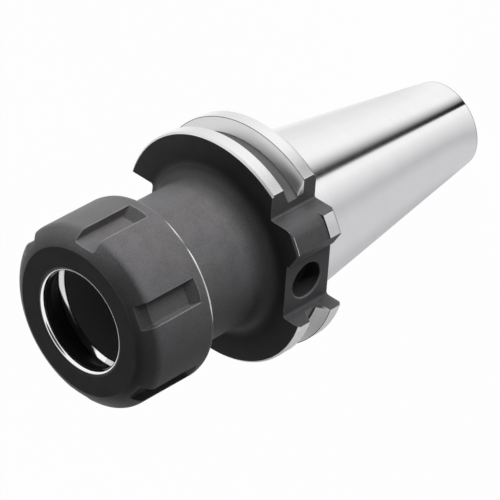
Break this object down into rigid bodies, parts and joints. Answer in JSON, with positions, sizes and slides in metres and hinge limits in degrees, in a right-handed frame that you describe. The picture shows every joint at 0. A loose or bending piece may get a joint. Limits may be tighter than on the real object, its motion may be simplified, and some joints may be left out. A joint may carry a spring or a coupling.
{
  "type": "collet chuck tool holder",
  "caption": "Milling tool holder with a 7/24 steep taper, grooved drive flange and a collet chuck nose closed by a slotted round clamping nut.",
  "frame": {"origin": "centre of the taper's small end, which the holder stands on", "axes": "+Z along the holder's axis towards the nut, -Y towards the drive slot with the chip hole"},
  "size_m": [0.0636, 0.0614, 0.1353],
  "materials": {
    "holder_body": "ground taper and flange rim, black oxide elsewhere",
    "clamping_nut": "satin black oxide",
    "clamping_ring": "bare ground steel",
    "retaining_wire": "bare spring wire"
  },
  "bodies": {
    "holder": {"holder_body": "holder_body"},
    "ring": {"clamping_ring": "clamping_ring"},
    "nut": {"clamping_nut": "clamping_nut", "retaining_wire": "retaining_wire"}
  },
  "joints": [
    {"name": "ring_lift", "type": "slide", "parent": "holder", "child": "ring", "axis": [0, 0, 1], "range_m": [0, 0.012]},
    {"name": "nut_turn", "type": "hinge", "parent": "ring", "child": "nut", "pos_m": [0, 0, 0.1243], "axis": [0, 0, 1], "range_deg": [0, 2880]}
  ],
  "couplings": [
    {"joint": "ring_lift", "follows": "nut_turn", "m_per_rad": 0.00023873}
  ]
}
